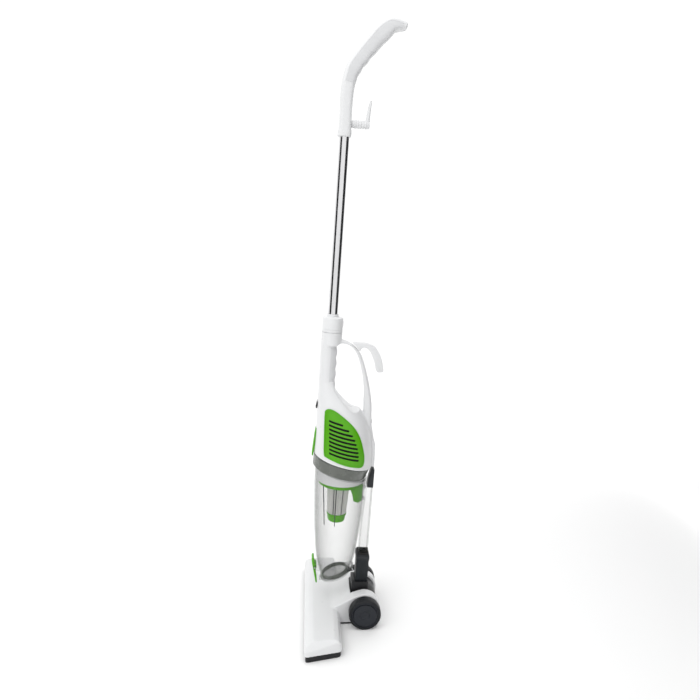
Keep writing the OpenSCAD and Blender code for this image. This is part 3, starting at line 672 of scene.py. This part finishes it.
def vent(side, suffix):
    place = PLUMB if side > 0 else PLUMB @ MIRROR
    slots = join([prism(slot_outline(k, VENT_FIELD), -6, 16) for k in range(SLOTS)])
    cover = laid_panel(VENT, [slots], body_tree, 0.05, 1.5)
    settle(cover, "vent_panel_" + suffix, "vent_cover_" + suffix, place, sharp=30)
    rim = laid_panel(VENT, [prism(around(VENT, VENT_MID, 0.945), -6, 16)], body_tree, 0.9, 1.3)
    settle(rim, "vent_rim_" + suffix, "vent_cover_" + suffix, place, [], sharp=30)
    foam = laid_panel(around(VENT, VENT_MID, 0.91), [], body_tree, -0.2, 0.5)
    settle(foam, "vent_foam_" + suffix, "exhaust_foam_" + suffix, place)


vent(1, "left")
vent(-1, "right")

# ------------------------------------------------------------------ pole, collar and top handle
HANDLE = [(-98.2, 926.5, 11.8), (-98, 946, 11.4), (-98.2, 968, 11), (-98.3, 996, 11.6),
          (-96.6, 1017, 12.2), (-91, 1037, 13.8), (-83, 1051.5, 14.1), (-69.2, 1070.4, 14.5),
          (-55.9, 1087.7, 14.4), (-43.5, 1102, 15), (-30.5, 1113.8, 13), (-19.5, 1116.2, 10.1),
          (-9.6, 1115.9, 7.6), (-4.5, 1115, 5.5)]
HANDLE_X = 13.4
BUMP_PITCH = 21


def handle_edge(s, w):
    """One edge of the handle's side outline, with w taken off its half thickness."""
    out = []
    for i, (y, z, t) in enumerate(HANDLE):
        a, b = HANDLE[max(i - 1, 0)], HANDLE[min(i + 1, len(HANDLE) - 1)]
        d = Vector((b[0] - a[0], b[1] - a[1])).normalized()
        out.append((y - s * d.y * (t - w), z + s * d.x * (t - w)))
    return out


def finger_bumps(run, across):
    """Shallow swellings along the handle's inner edge."""
    if across > -0.3 or not 96 < run < 96 + 3 * BUMP_PITCH:
        return 1
    return 1 - 0.05 * (1 - math.cos(2 * math.pi * (run - 96) / BUMP_PITCH)) * -across


def handle_width(t):
    return HANDLE_X if t < 0.85 else HANDLE_X * (1 - 1.6 * (t - 0.85) ** 1.4)


def top_handle():
    grip = swept(HANDLE, handle_width, 3.4, 40, finger_bumps, 6, nose=3)
    foot = swept([(-98.2, 927, 12.1), (-98.1, 930, 12.6), (-98, 937, 12.5), (-98, 939, 11.6)],
                 HANDLE_X, 3.2, 40)
    solid = fuse([grip, foot], 0.9, 4)
    tree = surface_tree(solid)
    for side, suffix in ((1, "left"), (-1, "right")):
        shell = sliced(twin(solid, "half"), Vector((side * 0.1, 0, 0)), Vector((-side, 0, 0)), False)
        m = shell.modifiers.new("wall", "SOLIDIFY")
        m.thickness = 1.7
        m.offset = -1
        applied(shell)
        settle(shell, "handle_half_" + suffix, "handle_shell_" + suffix, sharp=75)
        place = PLUMB if side > 0 else PLUMB @ MIRROR
        upper = [tuple(p) for p in spline(handle_edge(1, 7)[4:-1], 5)]
        lower = [tuple(p) for p in spline(handle_edge(-1, 2.4)[4:-1], 5)]
        pad = laid_panel(upper + lower[::-1], [], tree, -0.3, 0.8)
        settle(pad, "handle_pad_" + suffix, "handle_grip_" + suffix, place)
        above = [tuple(p) for p in spline(handle_edge(1, 5.6)[4:-1], 5)]
        ridge = laid_panel(above + upper[::-1], [], tree, -0.3, 1.1)
        settle(ridge, "handle_ridge_" + suffix, "handle_shell_" + suffix, place, [])
    drop(solid)


def pole_pieces():
    low, high = span("pole_tube")
    r = (high.x - low.x) / 2
    wall = [(r - 1, low.z), (r - 0.3, low.z), (r, low.z + 0.3), (r, high.z - 0.3),
            (r - 0.3, high.z), (r - 1, high.z)]
    settle(lathe(wall, 96, (0, POLE_Y)), "pole_chrome", "pole_tube")
    base, top = SEAM_Z + 0.35, span("pole_collar")[1].z
    brim = 604.2
    outer = [(10, base), (COLLAR_R - 0.5, base), (COLLAR_R, base + 0.5), (COLLAR_R, base + 4),
             (COLLAR_R - 0.45, base + 4.3), (COLLAR_R - 0.45, base + 5), (COLLAR_R, base + 5.3),
             (COLLAR_R, brim - 1), (COLLAR_R - 0.4, brim - 0.2), (COLLAR_R - 1.4, brim + 0.3),
             (12.4, brim + 1.6), (11, brim + 2.4), (10.8, top - 0.8), (10.3, top - 0.1),
             (9.5, top - 0.1), (9.3, top - 1), (9.3, base + 6), (10, base + 5)]
    collar = lathe(outer, 96, (0, COLLAR_Y))
    for v in collar.data.vertices:
        if (v.co.xy - Vector((0, COLLAR_Y))).length < 12.6:
            v.co.y += POLE_Y - COLLAR_Y
    boolean(collar, block((-6.3, -84, 586.7), (6.3, -70, 600.3)))
    spigot = lathe([(6, 532), (9.6, 532), (10, 532.4), (10, base + 1), (6, base + 1)], 64,
                   (0, POLE_Y - 2))
    settle(join([collar, spigot]), "pole_socket", "pole_collar")
    low, high = span("pole_release_button")
    button = [block(low, (high.x, high.y - 0.9, high.z))]
    for k in range(3):
        z = low.z + 3.2 + k * 3
        button.append(block((low.x + 1, high.y - 1.2, z), (high.x - 1, high.y, z + 1.3)))
    for b in button:
        edge_bevel(b, 0.35)
    settle(join(button), "pole_button", "pole_release_button")


top_handle()
pole_pieces()

# ------------------------------------------------------------------ cord hooks and gland
TO_Y = Matrix.Rotation(-math.pi / 2, 4, "X")


def along_y(obj, x, y, z):
    """Turns something lathed about +Z so that its axis runs along +Y from (x, y, z)."""
    obj.data.transform(Matrix.Translation((x, y, z)) @ TO_Y)
    return obj


def hooks():
    low, high = span("upper_cord_hook")
    reach = -54.5 - low.y
    pivot = (PLUMB.inverted() @ Vector(joints["upper_hook_turn"]["pos_m"])).z
    stub = [(2.6, 0), (6, 0), (6.6, 0.6)]
    for k in range(5):
        y = reach - 26.6 + k * 4.6
        stub += [(6.6, y), (7.1, y + 0.4), (7.4, y + 1), (7.4, y + 1.9), (7.1, y + 2.4),
                 (6.6, y + 2.8)]
    stub += [(6.6, reach - 1.6), (6.2, reach - 0.4), (5, reach), (2.6, reach)]
    spool = along_y(lathe(stub, 64), 0, low.y, pivot)
    finger = swept([(-58.6, pivot, 4), (-58.2, 961, 3.7), (-57, 975, 2.9), (-55.6, 986, 2.3),
                    (-54.6, 990.4, 1.5)], lambda t: 5.2 - 1.6 * t, 2.6, 24)
    settle(join([spool, finger]), "top_cord_hook", "upper_cord_hook")
    cad_copy("low_cord_hook", "lower_cord_hook", 1.7)
    low, high = span("cord_gland")
    gland = [(3.4, 0), (6.2, 0), (6.5, -0.4), (6.5, -0.7), (4.9, -0.8), (4.9, -12), (3.4, -12)]
    settle(along_y(lathe(gland, 48), 0, high.y, (low.z + high.z) / 2), "rear_gland", "cord_gland")


hooks()

# ------------------------------------------------------------------ dust bin
BIN_Y, BIN_WALL, RING_H = -62, 2, 24.4
BIN = [(26, 66), (28, 82), (31.6, 94), (35, 107), (38.2, 120), (40.2, 132), (42.6, 153),
       (46.4, 196), (48.8, 239), (51, 285), (52, 345)]


def bin_radius(z):
    for (ra, za), (rb, zb) in zip(BIN, BIN[1:]):
        if z <= zb:
            return ra + (rb - ra) * (z - za) / (zb - za)
    return BIN[-1][0]


def sloped_band(place, height, depth, inset, thick):
    """A rim that follows the cup's wall just inside a sloped cut."""
    point, up = plane_of(place, height)
    verts, faces, n = [], [], 96
    for k in range(n):
        a = 2 * math.pi * k / n
        c, s = math.cos(a), math.sin(a)
        for rise, out in ((0, inset), (0, inset - thick), (depth, inset - thick), (depth, inset)):
            z = point.z
            for _ in range(12):
                r = bin_radius(z) + out
                z = point.z + rise / up.z - (up.y / up.z) * (BIN_Y + r * s - point.y)
            verts.append((r * c, BIN_Y + r * s, z))
    for k in range(n):
        a, b = k * 4, ((k + 1) % n) * 4
        faces += [(a + i, a + (i + 1) % 4, b + (i + 1) % 4, b + i) for i in range(4)]
    return new_object("band", verts, faces)


def dust_cup():
    fine = [tuple(p) for p in spline(BIN, 5)]
    wall = fine + [(r - BIN_WALL, z) for r, z in reversed(fine)]
    cup = lathe(wall, 120, (0, BIN_Y))
    point, up = plane_of(LID, 0.05)
    sliced(cup, point, -up)
    point, up = plane_of(RING, -RING_H)
    sliced(cup, point, up)
    boolean(cup, block((-9.3, -20, 245.7), (9.3, 0, 270.3)))
    parts = [cup, sloped_band(RING, -RING_H, -2.4, 0.9, 2.6), sloped_band(LID, 0.05, 2.6, 0.6, 2.4)]
    pin = span("lid_hinge_pin")[1].x
    for s in (-1, 1):
        lug = edge_bevel(block((s * 12 - 2.5, 31.4, 0.5), (s * 12 + 2.5, 43, 6)), 0.9)
        lug.data.transform(LID)
        parts.append(lug)
        ear = prism([(-90.6, 90), (-104.5, 92.5), (-104.5, 101), (-94.6, 104)], s * 11.6 - 1.3,
                    s * 11.6 + 1.3)
        parts.append(edge_bevel(ear, 0.5))
    hinge = rod(1.5, -pin, pin, HINGE_IN_LID.y, HINGE_IN_LID.z)
    hinge.data.transform(LID)
    settle(hinge, "lid_hinge_rod", "lid_hinge_pin")
    settle(join(parts), "dust_cup", "bin_cup", sharp=30)


def bin_collar():
    h = RING_H
    ring = lathe([(50.4, -h), (52.6, -h), (53.4, -h + 0.8), (53.9, -h + 2.6), (56.5, -4.4),
                  (57.1, -3.4), (57.1, -1), (56.9, -0.9), (50.4, -0.9)], 120)
    ring.data.transform(RING)
    settle(ring, "bin_ring_smoked", "bin_ring", sharp=30)
    gasket = lathe([(51, -0.9), (57.3, -0.9), (57.45, -0.6), (57.3, -0.2), (51, -0.2)], 120)
    gasket.data.transform(RING)
    settle(gasket, "bin_gasket", "bin_ring", replaces=[], slot="soft_rubber")
    r = 47.5
    cup = lathe([(r - 2, 286.4), (r, 286.4), (r + 1.4, 300), (r + 2, 345), (r, 345)], 96, (0, BIN_Y))
    point, up = plane_of(RING, -4)
    sliced(cup, point, up)
    settle(cup, "foam_cup", "foam_holder")


def cyclone():
    """The lime plate over the dust, its inlet hood, and two thin ribs that hang by the filter."""
    r, top = 43, span("cyclone_disc")[1].z
    disc = lathe([(19, 278), (r - 0.8, 278), (r, 278.8), (r, top - 0.6), (r - 0.5, top),
                  (r - 1.8, top), (r - 2, 280), (19, 280)], 96, (0, BIN_Y))
    hood = prism([(-41.8, 278.4), (-41.8, 268), (-37, 256), (-34, 243), (-25, 240), (-17.5, 246),
                  (-17.5, 278.4)], -13, 13)
    boolean(hood, prism([(-39.8, 276), (-39.8, 268), (-35, 256), (-32, 244.5), (-25, 242),
                         (-10, 247), (-10, 276)], -14, 11))
    edge_bevel(hood, 0.7)
    ribs = []
    for x, y, slant in ((21, -95.5, 3.2), (26.5, -70, 0.4)):
        rib = swept([(y, 279, 0.9), (y + slant, 240, 0.9), (y + 2 * slant, 196, 0.8)], 0.9, 2.2, 12,
                    nose=0.8)
        rib.data.transform(Matrix.Translation((x, 0, 0)))
        ribs.append(rib)
    settle(join([disc, hood]), "cyclone_plate", "cyclone_disc", sharp=30)
    settle(join(ribs), "cyclone_ribs", "cyclone_disc", replaces=[], slot="dark_grey_plastic")


FILTER_Y, FILTER_R, FILTER_FLARE, PLEATS = -65, 19.2, 3.3, 38


def pleated_cone():
    """The pleated sleeve, the four bars of its cage, and the cap under it."""
    low, high = span("pleated_filter")
    turns = PLEATS * 6
    verts_z = [low.z, low.z + 1.2] + [low.z + 2 + k * (high.z - low.z - 4) / 6 for k in range(7)]
    verts_z += [high.z - 1.2, high.z]

    def fold(a, z):
        return 1 - 0.045 * (1 + math.cos(PLEATS * a)) - 0.006 * math.sin(5 * a + z * 0.07)

    outer = [(FILTER_R + FILTER_FLARE * (z - low.z) / (high.z - low.z), z) for z in verts_z]
    profile = outer + [(15, high.z), (15, low.z)]
    settle(lathe(profile, turns, (0, FILTER_Y), fold), "pleated_sleeve", "pleated_filter", sharp=60)
    bars = []
    for a in (-24, 24, 156, 204):
        c, s = math.cos(math.radians(a)), math.sin(math.radians(a))
        bar = edge_bevel(block((-0.6, -0.6, low.z), (0.6, 0.6, high.z)), 0.2)
        for v in bar.data.vertices:
            reach = FILTER_R + 0.1 + FILTER_FLARE * (v.co.z - low.z) / (high.z - low.z)
            v.co.x += reach * c
            v.co.y += reach * s + FILTER_Y
        bars.append(bar)
    settle(join(bars), "filter_bars", "pleated_filter", replaces=[], slot="dark_grey_plastic")
    low, high = span("filter_cap")
    cap = lathe([(0.01, low.z), (15.4, low.z), (16.6, low.z + 0.8), (17.2, low.z + 2.4),
                 (18.4, high.z - 4), (19.5, high.z - 3.4), (19.6, high.z - 0.6), (19.2, high.z),
                 (0.01, high.z)], 72, (0, FILTER_Y))
    settle(cap, "filter_foot", "filter_cap")


LID_HALVES, SKIRT_HALVES = (27.9, 30.7), (24.2, 26.8)
LID_MIDDLE, SKIRT_MIDDLE = 1.8, 2.4


def lid_pieces():
    """The clear lid with its hinge knuckle, the dark skirt that seals it, and its inner floor."""

    def ellipse(profile, w, l, y):
        obj = lathe(profile, 96)
        obj.data.transform(Matrix.Translation((0, y, 0)) @ Matrix.Diagonal((w, l, 1, 1)))
        return obj

    plate = ellipse([(0.001, -2.6), (0.8, -2.6), (0.83, -3.4), (0.985, -3.4), (1, -2.9), (1, -0.9),
                     (0.985, -0.4), (0.001, -0.4)], *LID_HALVES, LID_MIDDLE)
    lip = edge_bevel(block((-8, -32, -3.4), (8, -25, -0.4)), 0.6)
    strap = edge_bevel(block((-9, 28, -3.4), (9, 41.6, -0.5)), 0.6)
    knuckle = rod(3.2, -8.9, 8.9, HINGE_IN_LID.y, HINGE_IN_LID.z)
    web = edge_bevel(block((-8.9, 37.4, -3), (8.9, 41.6, 1)), 0.4)
    boolean(knuckle, rod(1.62, -12, 12, HINGE_IN_LID.y, HINGE_IN_LID.z))
    lid = join([plate, lip, strap, knuckle, web])
    lid.data.transform(LID)
    settle(lid, "lid_plate", "bin_lid", sharp=30, slot="smoke_clear")
    skirt = ellipse([(0.91, -0.4), (1, -0.4), (1.003, 0.4), (1, 6.4), (0.985, 7), (0.925, 7),
                     (0.91, 6.4)], *SKIRT_HALVES, SKIRT_MIDDLE)
    skirt.data.transform(LID)
    settle(skirt, "lid_gasket", "lid_seal", slot="smoke_dark")
    tray = ellipse([(0.001, -0.35), (0.9, -0.35), (0.9, 0.5), (0.001, 0.5)],
                   *SKIRT_HALVES, SKIRT_MIDDLE)
    tray.data.transform(LID)
    settle(tray, "lid_floor", "lid_seal", replaces=[], slot="smoke_clear")


LATCH = smooth_loop([(-104.6, 116.5), (-108.4, 115.6), (-108, 108), (-104.9, 94), (-101.2, 78),
                     (-98.4, 65), (-97, 62.8), (-95.4, 64.6), (-97.4, 76), (-99.6, 87),
                     (-99.2, 92), (-98, 97), (-99.2, 101.5), (-103, 105.5)])


LATCH_PIVOT = (-101.5, 97)


def latch():
    """The lever at the front that holds the lid shut."""
    lever = edge_bevel(prism(LATCH, -9.8, 9.8), 0.8, 3, 50)
    boolean(lever, rod(1.6, -20, 20, *LATCH_PIVOT))
    settle(lever, "latch_lever", "lid_latch", sharp=35)


dust_cup()
bin_collar()
cyclone()
pleated_cone()
lid_pieces()
latch()

# ------------------------------------------------------------------ neck and air path
cad_copy("clear_duct", "suction_duct", 0.9)
cad_copy("duct_top", "duct_cap", 0.5)
cad_copy("duct_gasket", "duct_seal", 0.5)
cad_copy("neck_connector", "connector", 0.9)
cad_copy("neck_swivel", "neck_barrel", 1.2)
cad_copy("head_button", "head_release_button", 0.8)
cad_copy("bin_release", "bin_release_button", 0.9)
cad_copy("switch_slider", "power_switch", 0.8)
cad_copy("floor_base", "base_plate", 0.5)

# ------------------------------------------------------------------ wheels
TREAD_RIBS = 72
HUB_R = 27.5


def tread(a, _):
    """Fine ribs across the running face, none on the side walls."""
    return 1 - 0.006 * (0.5 + 0.5 * math.cos(TREAD_RIBS * a))


def wheel(side, suffix):
    low, high = span("wheel_hub_left", HEAD)
    x0, x1, r = low.x, high.x, HUB_R
    cap = lathe([(0.01, x1 - 1.9), (8.3, x1 - 1.9), (8.6, x1 - 1.2), (8.3, x1 - 0.7),
                 (0.01, x1 - 0.5)], 64)
    hub = lathe([(4.1, x0), (r - 1, x0), (r - 0.2, x0 + 0.8), (r - 0.2, x1 - 1.6),
                 (r - 0.9, x1 - 0.5), (r - 2.4, x1 - 0.2), (r - 2.9, x1 - 1.6),
                 (23.4, x1 - 1.9), (22.9, x1 - 0.5), (22.2, x1 - 0.15), (9, x1 - 0.5),
                 (8, x1 - 1.5), (7.2, x1 - 1.7), (6.9, x1 - 2.6), (7, x1 - 5), (4.1, x1 - 5)], 96)
    hub = join([hub, cap])
    low, high = span("wheel_tyre_left", HEAD)
    x0, x1, r = low.x, high.x, axle.z / MM
    tyre = lathe([(27.4, x0), (r - 1.6, x0), (r - 0.7, x0 + 0.6), (r - 0.05, x0 + 2),
                  (r - 0.05, x1 - 2.4), (r - 0.7, x1 - 1), (r - 1.8, x1 - 0.3), (r - 2.8, x1),
                  (27.4, x1 - 0.1)], TREAD_RIBS * 4, (0, 0), tread)
    turn = Matrix.Translation((0, 0, axle.z / MM)) @ Matrix.Rotation(math.pi / 2, 4, "Y")
    place = HEAD if side > 0 else HEAD @ MIRROR
    for obj, name, node in ((hub, "hub_", "wheel_hub_"), (tyre, "tyre_", "wheel_tyre_")):
        obj.data.transform(turn)
        settle(obj, name + suffix, node + suffix, place, sharp=28)


wheel(1, "left")
wheel(-1, "right")

# ------------------------------------------------------------------ floor head
HEAD_PLAN = [(-158, -119), (158, -119), (145, -48), (-145, -48)]


def rounded_plan(inset, radius, steps=6):
    """The wing's plan, set in by some millimetres, with rounded corners."""
    mid = Vector((0, -83.5))
    corners = [Vector(p) + Vector((-math.copysign(inset, p[0]), math.copysign(inset, mid.y - p[1])))
               for p in HEAD_PLAN]
    out = []
    for i, b in enumerate(corners):
        a, c = corners[i - 1], corners[(i + 1) % len(corners)]
        s, e = b + (a - b).normalized() * radius, b + (c - b).normalized() * radius
        for k in range(steps + 1):
            t = k / steps
            out.append((1 - t) ** 2 * s + 2 * t * (1 - t) * b + t * t * e)
    return out


def bead(path, z, radius, count=10):
    """A round bead along a closed plan."""
    rings, n = [], len(path)
    for i, p in enumerate(path):
        d = (path[(i + 1) % n] - path[i - 1]).normalized()
        out = Vector((d.y, -d.x, 0))
        rings.append([Vector((p.x, p.y, z)) + out * radius * math.cos(a)
                      + Vector((0, 0, radius * math.sin(a)))
                      for a in (2 * math.pi * k / count for k in range(count))])
    verts = [v for r in rings for v in r]
    faces = [(i * count + k, i * count + (k + 1) % count,
              ((i + 1) % n) * count + (k + 1) % count, ((i + 1) % n) * count + k)
             for i in range(n) for k in range(count)]
    return new_object("bead", verts, faces)


def floor_head():
    shell = bpy.data.objects.new("shell", frame["nodes"]["head_shell"].data.copy())
    bpy.context.scene.collection.objects.link(shell)
    shell.data.transform(HEAD.inverted())
    shell = fuse([shell], 1.2, 4)
    rim = bead(rounded_plan(1.3, 9), 13.4, 1.0)
    settle(join([shell, rim]), "head_cover", "head_shell", HEAD, sharp=70)


floor_head()

# ------------------------------------------------------------------ CAD nodes that keep their shape
repaint("lint_strips", "base_screws", "wheel_axles", "roller_pins", "roller_left", "roller_right",
        "premotor_foam", "latch_pin", "fan_housing", "motor_can", "motor_mount", "motor_shaft",
        "impeller", "release_pin", "switch_block", "body_screws", "handle_screws", "hook_screw")

# ------------------------------------------------------------------ floor, lights and camera
def studio():
    half = 30
    floor = new_object("studio_floor", [(-half, -half, 0), (half, -half, 0), (half, half, 0),
                                        (-half, half, 0)], [(0, 1, 2, 3)])
    m, nodes, links, shader = new_material("studio_floor")
    grain = noise_field(nodes, links, 3)
    links.new(tint(nodes, links, grain, (0.95, 0.95, 0.95), 0.002), shader.inputs["Base Color"])
    links.new(spread(nodes, links, grain, 0.75, 0.85), shader.inputs["Roughness"])
    shader.inputs["Specular IOR Level"].default_value = 0.2
    floor.data.materials.append(m)
    world = bpy.data.worlds.new("studio")
    world.use_nodes = True
    world.node_tree.nodes["Background"].inputs["Color"].default_value = (1, 1, 1, 1)
    world.node_tree.nodes["Background"].inputs["Strength"].default_value = 1.1
    bpy.context.scene.world = world
    bpy.context.scene.view_settings.view_transform = "Standard"


def area_light(name, place, target, size, power):
    data = bpy.data.lights.new(name, "AREA")
    data.size = size
    data.energy = power
    light = bpy.data.objects.new(name, data)
    light.location = place
    light.rotation_euler = (Vector(target) - Vector(place)).to_track_quat("-Z", "Y").to_euler()
    bpy.context.scene.collection.objects.link(light)


def flag(name, place, half_wide, shades):
    """A dark board out of view, which gives the chrome its streaks and shades what faces it."""
    x, y, z = place
    tall = 0.65
    board = new_object(name, [(x - half_wide, y, z - tall), (x + half_wide, y, z - tall),
                              (x + half_wide, y, z + tall), (x - half_wide, y, z + tall)],
                       [(0, 1, 2, 3)])
    board.data.materials.append(MATERIALS["black_plastic"])
    board.visible_camera = False
    board.visible_shadow = False
    board.visible_diffuse = shades


def camera():
    """A camera at the cleaner's left side, a little towards the front, looking down."""
    distance, height, aim_y = 1.131, 0.773, -0.0026
    turn, pitch, roll = math.radians(3.8), math.radians(11.31), math.radians(0.21)
    look = Vector((-math.cos(turn) * math.cos(pitch), math.sin(turn) * math.cos(pitch),
                   -math.sin(pitch)))
    right = look.cross(Vector((0, 0, 1))).normalized()
    up = right.cross(look)
    tilted_right = right * math.cos(roll) + up * math.sin(roll)
    tilted_up = up * math.cos(roll) - right * math.sin(roll)
    data = bpy.data.cameras.new("camera")
    data.sensor_width = 36
    data.lens = 31.32
    cam = bpy.data.objects.new("camera", data)
    turned = Matrix((tilted_right, tilted_up, -look)).transposed().to_4x4()
    place = Vector((distance * math.cos(turn), aim_y - distance * math.sin(turn), height))
    cam.matrix_world = Matrix.Translation(place) @ turned
    bpy.context.scene.collection.objects.link(cam)
    bpy.context.scene.camera = cam


studio()
area_light("key", (1.2, -1.3, 2.4), (0, 0, 0.4), 1.4, 9)
area_light("top", (0.2, 0.3, 2.8), (0, 0, 0), 2.4, 16)
flag("flag_front", (0.35, -1.0, 0.75), 0.5, False)
flag("flag_rear", (0.2, 1.0, 0.75), 0.8, True)
camera()
